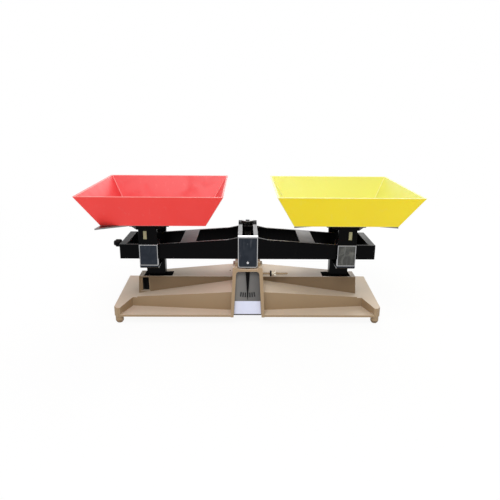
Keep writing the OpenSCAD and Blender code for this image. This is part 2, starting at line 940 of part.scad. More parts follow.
module lever_pin() {
    color(steel) bar_y(0, -channel_front - lever_pin_seat, channel_back + lever_pin_seat, lever_z, pin_d);
}

// Tray carriers, drawn about their own knife and then set to the left or to the right

module at_arm(side) {
    translate([side * arm_length, 0, 0]) children();
}

module slot_insert_outline(side) {
    translate([side * slot_insert_shift - slot_insert_width / 2, slot_insert_z])
        square([slot_insert_width, slot_insert_height]);
}

module carrier(side) {
    half = strap_width / 2;
    color(black) at_arm(side) difference() {
        union() {
            block(
                [-platform_width / 2, -platform_depth / 2, platform_low_z],
                [platform_width / 2, platform_depth / 2, platform_z]
            );
            front_and_back() {
                translate([side * lip_shift, 0, platform_low_z]) linear_extrude(lip_thick) polygon([
                    [-lip_root / 2, -platform_depth / 2], [-lip_tip / 2, -lip_reach],
                    [lip_tip / 2, -lip_reach], [lip_root / 2, -platform_depth / 2]
                ]);
                block([-half, -strap_out, strap_top_z], [half, -arm_in, platform_low_z]);
                block([-arm_core / 2, -arm_out, arm_foot_z], [arm_core / 2, -arm_in, strap_top_z]);
            }
        }
        front_and_back() block(
            [-window_half, -strap_out - over, arm_window_low],
            [window_half, -arm_in + over, arm_window_top]
        );
        upright(-strap_out - over, -strap_out + slot_insert_sink) slot_insert_outline(side);
    }
}

module bearings(side) {
    low = knife_z - knife_flank;
    color(steel) at_arm(side) front_and_back() upright(-arm_out + bearing_sink, -arm_in) difference() {
        translate([-window_half, low]) square([2 * window_half, arm_window_top - low]);
        vee_outline(0, 1, 2 * knife_flank);
    }
}

// Outline of the bent chrome strip in Y and Z, with round bends below the beam
module strap_outline(inset) {
    half = strap_out - inset;
    corner = strap_bend - inset;
    low = strap_low_z + inset;
    translate([-half, low + corner]) square([2 * half, strap_top_z + inset - low - corner]);
    translate([-half + corner, low]) square([2 * (half - corner), 2 * corner]);
    for (side = [-1, 1]) translate([side * (half - corner), low + corner]) circle(r = corner);
}

module strap(side) {
    half = strap_width / 2;
    color(chrome) at_arm(side) {
        along(-half, half) difference() {
            strap_outline(0);
            strap_outline(chrome_wall);
        }
        front_and_back() for (edge = [-half, half - chrome_wall])
            block([edge, -strap_in, arm_foot_z], [edge + chrome_wall, -arm_in - bearing_sink, strap_top_z]);
    }
}

// A post that hangs below its strap, with a shoulder beside the strap and a blade on the lever
module post(side) {
    half_y = post_depth / 2;
    inner = -post_width / 2 - post_shift;
    color(black) at_arm(side) rotate(side < 0 ? 180 : 0) difference() {
        union() {
            block([inner, -half_y, blade_top_z], [post_width / 2 - post_shift, half_y, strap_low_z]);
            block([inner, -half_y, strap_low_z], [-strap_width / 2 - cover_fit, half_y, post_shoulder_z]);
            block([-blade_half, -blade_y, blade_low_z], [blade_half, blade_y, blade_top_z]);
        }
        bar_y(0, -blade_y - over, blade_y + over, lever_z, pin_d);
    }
}

module post_pin(side) {
    color(steel) at_arm(side) bar_y(0, -post_depth / 2, post_depth / 2, lever_z, pin_d);
}

module slot_insert(side) {
    color(ivory) at_arm(side) upright(-strap_out + chrome_wall / 5, -strap_out + slot_insert_sink)
        slot_insert_outline(side);
}

// Steel plate with four pointed arms that lies on a carrier
module steel_plate(x, y, turn) {
    waist = plate_reach * 0.474;
    color(chrome) translate([x, y, plate_z]) rotate(45 + turn) linear_extrude(plate_thick)
        polygon([for (k = [0 : 7]) let (r = k % 2 == 0 ? plate_reach : waist) [r * cos(45 * k), r * sin(45 * k)]]);
}

// Side view of a tray, or of its inside when an inset is given
module tray_outline(inset, low) {
    foot = tray_floor / 2 - inset + low * tray_slope;
    rim = tray_rim / 2 - inset + low * tray_slope;
    polygon([[-foot, low], [foot, low], [rim, tray_height + low], [-rim, tray_height + low]]);
}

module tray_form(inset, low) {
    reach = tray_rim;
    intersection() {
        upright(-reach, reach) tray_outline(inset, low);
        along(-reach, reach) tray_outline(inset, low);
    }
}

module tray(x) {
    translate([x, 0, tray_z]) difference() {
        tray_form(0, 0);
        tray_form(tray_wall_level, tray_wall);
    }
}

module left_carrier() { carrier(-1); }
module left_bearings() { bearings(-1); }
module left_strap() { strap(-1); }
module left_post() { post(-1); }
module left_post_pin() { post_pin(-1); }
module left_slot_insert() { slot_insert(-1); }
module left_plate() {
    steel_plate(-arm_length + left_plate_slip[0], left_plate_slip[1], left_plate_turn);
}
module red_tray() { color([0.93, 0.25, 0.24]) tray(-tray_x + red_tray_slip); }
module right_carrier() { carrier(1); }
module right_bearings() { bearings(1); }
module right_strap() { strap(1); }
module right_post() { post(1); }
module right_post_pin() { post_pin(1); }
module right_slot_insert() { slot_insert(1); }
module right_plate() { steel_plate(tray_x + yellow_tray_slip, 0, 0); }
module yellow_tray() { color([1, 0.87, 0.16]) tray(tray_x + yellow_tray_slip); }

base_casting();
foot_pads();
dial_plate();
dial_marks();
label_plate();
front_bearing_plate();
back_bearing_plate();
bearing_screws();
front_cover();
back_cover();
cover_rivets();
top_bridge();
rear_pad();
rear_clip();
clip_screw();
zero_rod();
zero_nut();
beam_frame();
centre_knife();
left_knife();
right_knife();
pointer();
knob_stud();
zero_knob();
check_lever();
lever_pin();
left_carrier();
left_bearings();
left_strap();
left_post();
left_post_pin();
left_slot_insert();
left_plate();
red_tray();
right_carrier();
right_bearings();
right_strap();
right_post();
right_post_pin();
right_slot_insert();
right_plate();
yellow_tray();
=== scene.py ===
"""Dresses the school balance: finishes, edge breaks, borders, knurls and threads
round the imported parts, on a pale floor under plain soft light."""

import json
import math

import bmesh
import bpy
from mathutils import Matrix, Vector


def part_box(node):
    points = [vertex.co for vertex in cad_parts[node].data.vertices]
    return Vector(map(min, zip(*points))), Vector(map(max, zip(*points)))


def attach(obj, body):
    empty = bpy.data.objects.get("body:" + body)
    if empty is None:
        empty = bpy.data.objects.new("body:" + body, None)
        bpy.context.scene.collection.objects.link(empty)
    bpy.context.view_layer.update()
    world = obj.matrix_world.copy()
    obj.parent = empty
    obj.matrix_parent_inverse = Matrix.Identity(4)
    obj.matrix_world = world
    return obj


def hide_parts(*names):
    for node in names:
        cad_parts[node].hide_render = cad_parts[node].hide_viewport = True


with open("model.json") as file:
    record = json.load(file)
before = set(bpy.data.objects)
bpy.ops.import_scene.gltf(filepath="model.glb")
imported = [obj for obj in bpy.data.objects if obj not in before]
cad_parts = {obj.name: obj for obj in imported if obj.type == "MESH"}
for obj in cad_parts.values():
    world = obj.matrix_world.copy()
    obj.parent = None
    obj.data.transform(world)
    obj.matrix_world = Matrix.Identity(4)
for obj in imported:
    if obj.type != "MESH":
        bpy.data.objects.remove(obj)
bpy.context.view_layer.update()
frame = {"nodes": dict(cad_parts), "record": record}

MM = 0.001

# Camera, solved from the vanishing points of the photograph
CAMERA_SPOT = Vector((-4.8, -563.0, 243.0)) * MM
CAMERA_PITCH = math.radians(16.91)
CAMERA_YAW = math.radians(-0.778)
CAMERA_ROLL = math.radians(0.48)
CAMERA_FOCAL_PX = 490.0
FRAME_PX = 500.0
SENSOR_MM = 36.0

# Colours, as linear values
BEIGE = (0.385, 0.275, 0.165, 1.0)
BEIGE_DEEP = (0.300, 0.205, 0.120, 1.0)
# Darker beige for the ridge's front face, which is painted shade under the beam
BEIGE_PAINTED_SHADE = (0.235, 0.155, 0.083, 1.0)
BEIGE_PAINTED_SHADE_DEEP = (0.150, 0.095, 0.050, 1.0)
# Paler beige for level tops, which is painted light
BEIGE_LIT_TOP = (0.640, 0.530, 0.420, 1.0)
BEIGE_WORN = (0.720, 0.620, 0.470, 1.0)
TAN = (0.300, 0.205, 0.120, 1.0)
TAN_DEEP = (0.190, 0.125, 0.070, 1.0)
BLACK = (0.0018, 0.0018, 0.0023, 1.0)
# Pale colour for the upper edges: worn by handling, and a painted highlight
BLACK_WEAR_AND_HIGHLIGHT = (0.340, 0.320, 0.310, 1.0)
# Near-black painted shade for the channel under the ridge and the panel grooves
HOLLOW_SHADE = (0.006, 0.005, 0.005, 1.0)
STRIP_GREY = (0.072, 0.072, 0.075, 1.0)
CLIP_GREY = (0.190, 0.190, 0.195, 1.0)
# Grey for the tops of the black cross bars, a painted sheen
BAR_TOP_SHEEN = (0.200, 0.190, 0.200, 1.0)
BAR_DEEP = (0.150, 0.140, 0.150, 1.0)
BAR_WORN = (0.330, 0.320, 0.330, 1.0)
RED = (0.980, 0.052, 0.045, 1.0)
# Red for the tray's inside faces, a copy toned for the light they get: painted light
RED_INSIDE_PAINTED_LIGHT = (0.780, 0.055, 0.058, 1.0)
# Pale red for scratches and for painted highlights along the tray's edges
RED_SCUFF_AND_HIGHLIGHT = (0.900, 0.270, 0.250, 1.0)
YELLOW = (1.000, 0.800, 0.008, 1.0)
# Yellow for the tray's inside faces, a copy toned for the light they get: painted light
YELLOW_INSIDE_PAINTED_LIGHT = (0.800, 0.790, 0.160, 1.0)
# Pale yellow for scratches and for painted highlights along the tray's edges
YELLOW_SCUFF_AND_HIGHLIGHT = (0.850, 0.820, 0.330, 1.0)
CHROME = (0.660, 0.665, 0.680, 1.0)
CHROME_RIM = (0.450, 0.450, 0.460, 1.0)
CHROME_DULLED = (0.300, 0.290, 0.270, 1.0)
# Dark chrome tones are painted dark reflections; the dulled tones are smudges
SLATE_REFLECTION = (0.024, 0.029, 0.038, 1.0)
SLATE_DULLED = (0.100, 0.110, 0.130, 1.0)
SMEARED_DARK_REFLECTION = (0.070, 0.070, 0.066, 1.0)
SMEARED_DULLED = (0.170, 0.170, 0.155, 1.0)
STEEL = (0.500, 0.505, 0.515, 1.0)
PLATE_STEEL = (0.200, 0.190, 0.190, 1.0)
METAL_WORN = (0.800, 0.800, 0.800, 1.0)
NICKEL = (0.560, 0.500, 0.400, 1.0)
BRASS = (0.340, 0.225, 0.105, 1.0)
DIAL = (0.190, 0.185, 0.178, 1.0)
# Deeper grey for painted shade on the dial's right side, and for its mottle
DIAL_SHADE_AND_MOTTLE = (0.095, 0.092, 0.089, 1.0)
# Near-black painted shadow for the strip below the label, with a speckle
DIAL_FOOT_SHADOW = (0.022, 0.021, 0.020, 1.0)
DIAL_FOOT_SPECKLE = (0.100, 0.095, 0.090, 1.0)
INK = (0.006, 0.006, 0.006, 1.0)
LABEL = (0.740, 0.780, 0.950, 1.0)
LABEL_DEEP = (0.680, 0.720, 0.900, 1.0)
IVORY = (0.430, 0.410, 0.230, 1.0)
IVORY_DEEP = (0.330, 0.310, 0.160, 1.0)
DUST = (0.450, 0.430, 0.400, 1.0)
FLOOR = (0.900, 0.900, 0.900, 1.0)
WHITE = (1.0, 1.0, 1.0, 1.0)

# Surroundings, in metres and watts; a glow of 1 shows as white
FLOOR_SIZE = 12.0
FLOOR_LEVEL = -0.0002
FLOOR_GLOW = 0.92
FLOOR_GLOW_NEAR, FLOOR_GLOW_FAR = 0.25, 0.8
WORLD_LIGHT = 0.54
LAMP_AIM = (0.0, 0.0, 0.05)
LAMPS = (("back", (0.3, 0.9, 0.8), 1.0, 8.0),
         ("front", (-0.1, -0.55, 1.1), 0.6, 7.5))

# Places and sizes on the pieces, in millimetres
CHANNEL_HALF_WIDTH = 9.2            # hollow under the ridge, painted dark as shade
CHANNEL_ROOF = 41.8
CHANNEL_TO_BASE_END = 20.0
RIDGE_FRONT_Y = (-24.0, -10.0)      # the ridge's front face, darkened with painted shade
RIDGE_FRONT_LOW = 24.0
RIDGE_FRONT_FROM_MIDDLE = 18.0
PAD_LOW, PAD_HIGH = (-31.0, -52.4, 10.6), (-21.4, -41.0, 11.25)
BRIDGE_BEND = 3.2                   # front bend of the bridge, before its satin strips
# The grey on the bars' tops is a painted sheen on the black beam
CROSS_BAR = (59.0, 77.0)            # grey bars: the inner one from the middle,
END_BAR = (9.0, 0.2)                # the outer one from the end of the beam
RAIL_INSIDE = 26.3
STRAP_BEND = 3.9                    # height of the bend at the foot of a strap
RIVET_ROOM = 3.0
SHEET_EDGE = 0.2
KNOB_BORE, KNOB_RIB = 1.7, 0.45
NUT_PLAY, NUT_RIB = 0.05, 0.35
NUT_COLLAR_SHARE, NUT_NECK_SHARE = 0.3, 0.74
RIBBED_POINTS = 48                  # round a knob or nut, a groove at every third
THREAD_PITCH, THREAD_DEPTH = 0.8, 0.16
THREAD_POINTS, THREAD_RINGS = 20, 170

# How a face has to lie to count, as a part of its normal
LEVEL = 0.9
STEEP_FRONT = -0.8
UPPER_SIDE = 0.5
TRAY_INSIDE = 0.1
FLAT_SHEET = 0.99999
EDGE_ANGLE = math.radians(28.0)     # a sharper edge than this is rounded


# Node helpers

FLOAT = "NodeSocketFloat"


def place(tree, kind, inputs=None, **settings):
    """Adds one node, sets its properties, and fills or links its inputs."""
    node = tree.nodes.new(kind)
    for name, value in settings.items():
        setattr(node, name, value)
    for name, value in (inputs or {}).items():
        socket = node.inputs[name]
        if isinstance(value, bpy.types.NodeSocket):
            tree.links.new(value, socket)
        else:
            socket.default_value = value
    return node


def math_node(tree, operation, first, second, clamp=False):
    return place(tree, "ShaderNodeMath", {0: first, 1: second},
                 operation=operation, use_clamp=clamp).outputs[0]


def blend_colour(tree, mask, base, over):
    node = place(tree, "ShaderNodeMix", {0: mask, 6: base, 7: over}, data_type="RGBA")
    return node.outputs[2]


def new_group(name, inputs, outputs):
    """An empty shader node group with named sockets: (name, kind, default)."""
    tree = bpy.data.node_groups.new(name, "ShaderNodeTree")
    for label, kind, default in inputs:
        socket = tree.interface.new_socket(name=label, in_out="INPUT", socket_type=kind)
        socket.default_value = default
    for label, kind in outputs:
        tree.interface.new_socket(name=label, in_out="OUTPUT", socket_type=kind)
    return tree, tree.nodes.new("NodeGroupInput"), tree.nodes.new("NodeGroupOutput")


def make_edge_wear_and_highlight():
    """Mask of edges, broken up by noise, for edges that handling rubs bright and for painted edge
    highlights.
    """
    tree, given, out = new_group(
        "edge_wear_and_highlight",
        [("Radius", FLOAT, 0.0006), ("Strength", FLOAT, 1.0), ("Breakup", FLOAT, 0.5)],
        [("Mask", FLOAT)])
    coords = place(tree, "ShaderNodeTexCoord")
    soft = place(tree, "ShaderNodeBevel", {"Radius": given.outputs["Radius"]}, samples=4)
    geometry = place(tree, "ShaderNodeNewGeometry")
    same = place(tree, "ShaderNodeVectorMath",
                 {0: soft.outputs[0], 1: geometry.outputs["True Normal"]},
                 operation="DOT_PRODUCT")
    edge = math_node(tree, "SUBTRACT", 1.0, same.outputs["Value"])
    edge = math_node(tree, "MULTIPLY", edge, 9.0, clamp=True)
    noise = place(tree, "ShaderNodeTexNoise",
                  {"Vector": coords.outputs["Object"], "Scale": 420.0, "Detail": 3.0})
    low = math_node(tree, "SUBTRACT", 1.0, given.outputs["Breakup"])
    patch = math_node(tree, "MULTIPLY", noise.outputs["Fac"], given.outputs["Breakup"])
    patch = math_node(tree, "ADD", patch, low, clamp=True)
    mask = math_node(tree, "MULTIPLY", edge, patch)
    mask = math_node(tree, "MULTIPLY", mask, given.outputs["Strength"], clamp=True)
    tree.links.new(mask, out.inputs["Mask"])
    return tree


def make_grain():
    """Fine moulded or cast grain: a height for a bump and a slow mottle."""
    tree, given, out = new_group(
        "grain",
        [("Grain Scale", FLOAT, 900.0), ("Mottle Scale", FLOAT, 30.0)],
        [("Height", FLOAT), ("Mottle", FLOAT)])
    coords = place(tree, "ShaderNodeTexCoord")
    fine = place(tree, "ShaderNodeTexNoise",
                 {"Vector": coords.outputs["Object"], "Scale": given.outputs["Grain Scale"],
                  "Detail": 3.0, "Roughness": 0.6})
    slow = place(tree, "ShaderNodeTexNoise",
                 {"Vector": coords.outputs["Object"], "Scale": given.outputs["Mottle Scale"],
                  "Detail": 2.0})
    tree.links.new(fine.outputs["Fac"], out.inputs["Height"])
    tree.links.new(slow.outputs["Fac"], out.inputs["Mottle"])
    return tree


def make_dust():
    """Mask of dust that lies on upward faces, in uneven patches."""
    tree, given, out = new_group(
        "settled_dust",
        [("Amount", FLOAT, 0.2), ("Patch Scale", FLOAT, 60.0)],
        [("Mask", FLOAT)])
    coords = place(tree, "ShaderNodeTexCoord")
    geometry = place(tree, "ShaderNodeNewGeometry")
    split = place(tree, "ShaderNodeSeparateXYZ", {0: geometry.outputs["Normal"]})
    facing = math_node(tree, "MULTIPLY", split.outputs["Z"], 1.0, clamp=True)
    facing = math_node(tree, "POWER", facing, 4.0)
    noise = place(tree, "ShaderNodeTexNoise",
                  {"Vector": coords.outputs["Object"], "Scale": given.outputs["Patch Scale"],
                   "Detail": 6.0, "Roughness": 0.7})
    mask = math_node(tree, "MULTIPLY", facing, noise.outputs["Fac"])
    mask = math_node(tree, "MULTIPLY", mask, given.outputs["Amount"], clamp=True)
    tree.links.new(mask, out.inputs["Mask"])
    return tree


def make_smudges():
    """Handling marks on polished faces: broad smears and fine wiping scratches."""
    tree, given, out = new_group(
        "smudges",
        [("Smear Scale", FLOAT, 90.0), ("Scratch Scale", FLOAT, 500.0)],
        [("Smear", FLOAT), ("Scratch", FLOAT)])
    coords = place(tree, "ShaderNodeTexCoord")
    broad = place(tree, "ShaderNodeTexNoise",
                  {"Vector": coords.outputs["Object"], "Scale": given.outputs["Smear Scale"],
                   "Detail": 4.0, "Distortion": 1.2})
    smear = place(tree, "ShaderNodeMapRange",
                  {"Value": broad.outputs["Fac"], "From Min": 0.42, "From Max": 0.72})
    stretch = place(tree, "ShaderNodeMapping",
                    {"Vector": coords.outputs["Object"], "Rotation": (0.0, 0.35, 0.0),
                     "Scale": (1.0, 1.0, 0.06)})
    lines = place(tree, "ShaderNodeTexNoise",
                  {"Vector": stretch.outputs[0], "Scale": given.outputs["Scratch Scale"],
                   "Detail": 2.0})
    scratch = place(tree, "ShaderNodeMapRange",
                    {"Value": lines.outputs["Fac"], "From Min": 0.62, "From Max": 0.70})
    tree.links.new(smear.outputs["Result"], out.inputs["Smear"])
    tree.links.new(scratch.outputs["Result"], out.inputs["Scratch"])
    return tree


EDGE_WEAR_AND_HIGHLIGHT = make_edge_wear_and_highlight()
GRAIN = make_grain()
SETTLED_DUST = make_dust()
SMUDGES = make_smudges()


def use_group(tree, group, **values):
    """Places a group; value names match the sockets, with _ for a space."""
    node = place(tree, "ShaderNodeGroup", node_tree=group)
    for name, value in values.items():
        node.inputs[name.replace("_", " ")].default_value = value
    return node.outputs


def new_material(name):
    """A material with an empty Principled surface; returns it, its tree and the shader."""
    material = bpy.data.materials.new(name)
    material.use_nodes = True
    tree = material.node_tree
    tree.nodes.clear()
    shader = tree.nodes.new("ShaderNodeBsdfPrincipled")
    output = tree.nodes.new("ShaderNodeOutputMaterial")
    tree.links.new(shader.outputs[0], output.inputs[0])
    return material, tree, shader


def set_inputs(tree, shader, **values):
    """Links a socket or sets a constant on the shader, by name."""
    for name, value in values.items():
        socket = shader.inputs[name.replace("_", " ")]
        if isinstance(value, bpy.types.NodeSocket):
            tree.links.new(value, socket)
        else:
            socket.default_value = value


def bump(tree, height, distance, strength):
    return place(tree, "ShaderNodeBump",
                 {"Height": height, "Distance": distance, "Strength": strength}).outputs[0]


def ranged(tree, value, low, high):
    """Maps a 0 to 1 value to the span from low to high."""
    return place(tree, "ShaderNodeMapRange",
                 {"Value": value, "To Min": low, "To Max": high}).outputs[0]


# Materials

def upward(tree):
    """Mask of what faces up, from 0 on a steep wall to 1 on a level top."""
    geometry = place(tree, "ShaderNodeNewGeometry")
    split = place(tree, "ShaderNodeSeparateXYZ", {0: geometry.outputs["Normal"]})
    return place(tree, "ShaderNodeMapRange",
                 {"Value": split.outputs["Z"], "From Min": 0.30, "From Max": 0.85}).outputs[0]


def moulded_beige(name, tone, deeper):
    """Textured beige of the base: cast grain, level tops paler from painted light, worn edges and
    dust.
    """
    material, tree, shader = new_material(name)
    grain = use_group(tree, GRAIN, Grain_Scale=1500.0, Mottle_Scale=22.0)
    edge_mask = use_group(tree, EDGE_WEAR_AND_HIGHLIGHT, Radius=0.0007, Strength=0.35, Breakup=0.4)
    dust = use_group(tree, SETTLED_DUST, Amount=0.10, Patch_Scale=45.0)
    colour = blend_colour(tree, ranged(tree, grain["Mottle"], 0.0, 0.35), tone, deeper)
    colour = blend_colour(tree, math_node(tree, "MULTIPLY", grain["Height"], 0.12), colour, deeper)
    # Painted light: faces that point up blend towards a paler beige
    lit_top = math_node(tree, "MULTIPLY", upward(tree), ranged(tree, grain["Mottle"], 1.0, 0.7))
    colour = blend_colour(tree, lit_top, colour, BEIGE_LIT_TOP)
    colour = blend_colour(tree, dust["Mask"], colour, DUST)
    colour = blend_colour(tree, edge_mask["Mask"], colour, BEIGE_WORN)
    set_inputs(tree, shader, Base_Color=colour,
               Roughness=ranged(tree, grain["Mottle"], 0.42, 0.60),
               Normal=bump(tree, grain["Height"], 0.00012, 0.55),
               Specular_IOR_Level=0.28)
    return material


def foot_tan():
    """Matt tan feet with a darker mottle."""
    material, tree, shader = new_material("foot_tan")
    grain = use_group(tree, GRAIN, Grain_Scale=1100.0, Mottle_Scale=120.0)
    colour = blend_colour(tree, grain["Mottle"], TAN, TAN_DEEP)
    set_inputs(tree, shader, Base_Color=colour, Roughness=0.72,
               Normal=bump(tree, grain["Height"], 0.0001, 0.4))
    return material


def gloss_black(name, edge_strength, roughness=(0.20, 0.34)):
    """Stoved black enamel: slight orange peel, dust on top, and upper edges paled partly by
    handling and partly by a painted highlight.
    """
    material, tree, shader = new_material(name)
    grain = use_group(tree, GRAIN, Grain_Scale=380.0, Mottle_Scale=40.0)
    edge_mask = use_group(tree, EDGE_WEAR_AND_HIGHLIGHT, Radius=0.0005, Strength=edge_strength, Breakup=0.7)
    dust = use_group(tree, SETTLED_DUST, Amount=0.03, Patch_Scale=80.0)
    colour = blend_colour(tree, dust["Mask"], BLACK, DUST)
    # Upper edges paled: worn by handling, and a painted highlight
    upper_edge_mask = math_node(tree, "MULTIPLY", edge_mask["Mask"], upward(tree))
    colour = blend_colour(tree, upper_edge_mask, colour, BLACK_WEAR_AND_HIGHLIGHT)
    set_inputs(tree, shader, Base_Color=colour, Specular_IOR_Level=0.05,
               Roughness=ranged(tree, grain["Mottle"], *roughness),
               Normal=bump(tree, grain["Height"], 0.00004, 0.35))
    return material


def bar_top_sheen_finish():
    """Grey on the tops of the beam's black cross bars, a painted sheen, paler along worn edges."""
    material, tree, shader = new_material("bar_top_sheen_finish")
    grain = use_group(tree, GRAIN, Grain_Scale=700.0, Mottle_Scale=90.0)
    edge_mask = use_group(tree, EDGE_WEAR_AND_HIGHLIGHT, Radius=0.0005, Strength=0.4, Breakup=0.5)
    colour = blend_colour(tree, grain["Mottle"], BAR_TOP_SHEEN, BAR_DEEP)
    colour = blend_colour(tree, edge_mask["Mask"], colour, BAR_WORN)
    set_inputs(tree, shader, Base_Color=colour,
               Roughness=ranged(tree, grain["Mottle"], 0.38, 0.55),
               Normal=bump(tree, grain["Height"], 0.00005, 0.4))
    return material


def tray_plastic(name, body, edge, corner=0.0009):
    """Moulded tray plastic: satin, slightly see-into, with pale edges and corners, partly worn by
    handling and partly painted highlight.
    """
    material, tree, shader = new_material(name)
    grain = use_group(tree, GRAIN, Grain_Scale=260.0, Mottle_Scale=14.0)
    edge_mask = use_group(tree, EDGE_WEAR_AND_HIGHLIGHT, Radius=corner, Strength=0.75, Breakup=0.35)
    marks = use_group(tree, SMUDGES, Smear_Scale=30.0, Scratch_Scale=240.0)
    deeper = (body[0] * 0.93, body[1] * 0.86, body[2] * 0.86, 1.0)
    colour = blend_colour(tree, ranged(tree, grain["Mottle"], 0.0, 0.5), body, deeper)
    scuff = math_node(tree, "MULTIPLY", marks["Scratch"], 0.06)
    colour = blend_colour(tree, scuff, colour, edge)
    # Painted highlight along edges and corners, also worn by handling
    colour = blend_colour(tree, edge_mask["Mask"], colour, edge)
    set_inputs(tree, shader, Base_Color=colour,
               Roughness=ranged(tree, marks["Smear"], 0.34, 0.50),
               Normal=bump(tree, grain["Height"], 0.00006, 0.25),
               Specular_IOR_Level=0.35,
               Subsurface_Weight=0.12, Subsurface_Radius=(1.0, 0.5, 0.3),
               Subsurface_Scale=0.004)
    return material


def specks(tree, scale):
    """Mask of sparse pin-point marks."""
    coords = place(tree, "ShaderNodeTexCoord")
    reach, left_out, strength = 0.16, 0.86, 0.35
    dots = place(tree, "ShaderNodeTexVoronoi",
                 {"Vector": coords.outputs["Object"], "Scale": scale})
    near = place(tree, "ShaderNodeMapRange",
                 {"Value": dots.outputs["Distance"], "From Min": 0.0, "From Max": reach,
                  "To Min": 1.0, "To Max": 0.0})
    chance = place(tree, "ShaderNodeSeparateXYZ", {0: dots.outputs["Color"]})
    picked = math_node(tree, "GREATER_THAN", chance.outputs["X"], left_out)
    mask = math_node(tree, "MULTIPLY", near.outputs[0], picked)
    return math_node(tree, "MULTIPLY", mask, strength)


def polished_metal(name, tone, roughness=(0.06, 0.22), mark=0.35, dull=CHROME_DULLED,
                   streak=0.30):
    """Plated sheet: smears, wiping scratches and small bright specks."""
    material, tree, shader = new_material(name)
    marks = use_group(tree, SMUDGES, Smear_Scale=110.0, Scratch_Scale=620.0)
    smeared = math_node(tree, "MULTIPLY", marks["Smear"], mark)
    colour = blend_colour(tree, smeared, tone, dull)
    scratched = math_node(tree, "MULTIPLY", marks["Scratch"], streak)
    colour = blend_colour(tree, scratched, colour, CHROME)
    colour = blend_colour(tree, specks(tree, 260.0), colour, CHROME)
    set_inputs(tree, shader, Base_Color=colour, Metallic=1.0,
               Roughness=ranged(tree, marks["Smear"], *roughness),
               Normal=bump(tree, marks["Scratch"], 0.00002, 0.25))
    return material


def brushed_metal(name, tone, direction=(1.0, 1.0, 0.04), roughness=(0.26, 0.42)):
    """Ground or rolled metal with fine lines along one way."""
    material, tree, shader = new_material(name)
    coords = place(tree, "ShaderNodeTexCoord")
    stretch = place(tree, "ShaderNodeMapping",
                    {"Vector": coords.outputs["Object"], "Scale": direction})
    lines = place(tree, "ShaderNodeTexNoise",
                  {"Vector": stretch.outputs[0], "Scale": 2600.0, "Detail": 2.0})
    edge_mask = use_group(tree, EDGE_WEAR_AND_HIGHLIGHT, Radius=0.0004, Strength=0.5, Breakup=0.4)
    grain = use_group(tree, GRAIN, Grain_Scale=500.0, Mottle_Scale=60.0)
    darker = (tone[0] * 0.72, tone[1] * 0.70, tone[2] * 0.68, 1.0)
    colour = blend_colour(tree, ranged(tree, grain["Mottle"], 0.0, 0.6), tone, darker)
    lined = math_node(tree, "MULTIPLY", lines.outputs["Fac"], 0.25)
    colour = blend_colour(tree, lined, colour, darker)
    colour = blend_colour(tree, edge_mask["Mask"], colour, METAL_WORN)
    set_inputs(tree, shader, Base_Color=colour, Metallic=1.0,
               Roughness=ranged(tree, lines.outputs["Fac"], *roughness),
               Normal=bump(tree, lines.outputs["Fac"], 0.00002, 0.3))
    return material


def flat_finish(name, tone, darker, roughness):
    """Printed, painted or moulded flat parts with a faint mottle."""
    material, tree, shader = new_material(name)
    grain = use_group(tree, GRAIN, Grain_Scale=1300.0, Mottle_Scale=150.0)
    colour = blend_colour(tree, ranged(tree, grain["Mottle"], 0.0, 0.7), tone, darker)
    set_inputs(tree, shader, Base_Color=colour,
               Roughness=ranged(tree, grain["Mottle"], *roughness),
               Normal=bump(tree, grain["Height"], 0.00003, 0.3))
    return material


def dial_grey():
    """Matt grey dial, a little deeper towards its right side, which is painted shade."""
    material, tree, shader = new_material("dial_grey")
    grain = use_group(tree, GRAIN, Grain_Scale=1300.0, Mottle_Scale=150.0)
    coords = place(tree, "ShaderNodeTexCoord")
    split = place(tree, "ShaderNodeSeparateXYZ", {0: coords.outputs["Object"]})
    across = place(tree, "ShaderNodeMapRange",
                   {"Value": split.outputs["X"], "From Min": -0.012, "From Max": 0.012}).outputs[0]
    # Painted shade: the dial darkens towards its right side
    colour = blend_colour(tree, across, DIAL, DIAL_SHADE_AND_MOTTLE)
    colour = blend_colour(tree, ranged(tree, grain["Mottle"], 0.0, 0.25), colour, DIAL_SHADE_AND_MOTTLE)
    set_inputs(tree, shader, Base_Color=colour,
               Roughness=ranged(tree, grain["Mottle"], 0.45, 0.62),
               Normal=bump(tree, grain["Height"], 0.00003, 0.3))
    return material


beige_finish = moulded_beige("moulded_beige", BEIGE, BEIGE_DEEP)
beige_painted_shade = moulded_beige("beige_painted_shade", BEIGE_PAINTED_SHADE, BEIGE_PAINTED_SHADE_DEEP)
foot_finish = foot_tan()
enamel = gloss_black("black_enamel", 0.8)
knob_black = gloss_black("knob_black", 0.4, (0.26, 0.40))
hollow_shade_finish = flat_finish("hollow_painted_shade", HOLLOW_SHADE, BLACK, (0.70, 0.90))
bar_top_sheen = bar_top_sheen_finish()
red_finish = tray_plastic("red_plastic", RED, RED_SCUFF_AND_HIGHLIGHT)
red_inside_painted_light = tray_plastic("red_inside_painted_light", RED_INSIDE_PAINTED_LIGHT, RED_SCUFF_AND_HIGHLIGHT, 0.0018)
red_edge_highlight = tray_plastic("red_edge_highlight", RED_SCUFF_AND_HIGHLIGHT, RED_SCUFF_AND_HIGHLIGHT)
yellow_finish = tray_plastic("yellow_plastic", YELLOW, YELLOW_SCUFF_AND_HIGHLIGHT)
yellow_inside_painted_light = tray_plastic("yellow_inside_painted_light", YELLOW_INSIDE_PAINTED_LIGHT, YELLOW_SCUFF_AND_HIGHLIGHT, 0.0018)
yellow_edge_highlight = tray_plastic("yellow_edge_highlight", YELLOW_SCUFF_AND_HIGHLIGHT, YELLOW_SCUFF_AND_HIGHLIGHT)
chrome_bright = polished_metal("chrome_bright", CHROME)
chrome_rim = polished_metal("chrome_rim", CHROME_RIM, (0.10, 0.26), 0.45)
chrome_dark_reflection = polished_metal("chrome_dark_reflection", SLATE_REFLECTION, (0.10, 0.26), 0.12, SLATE_DULLED, 0.05)
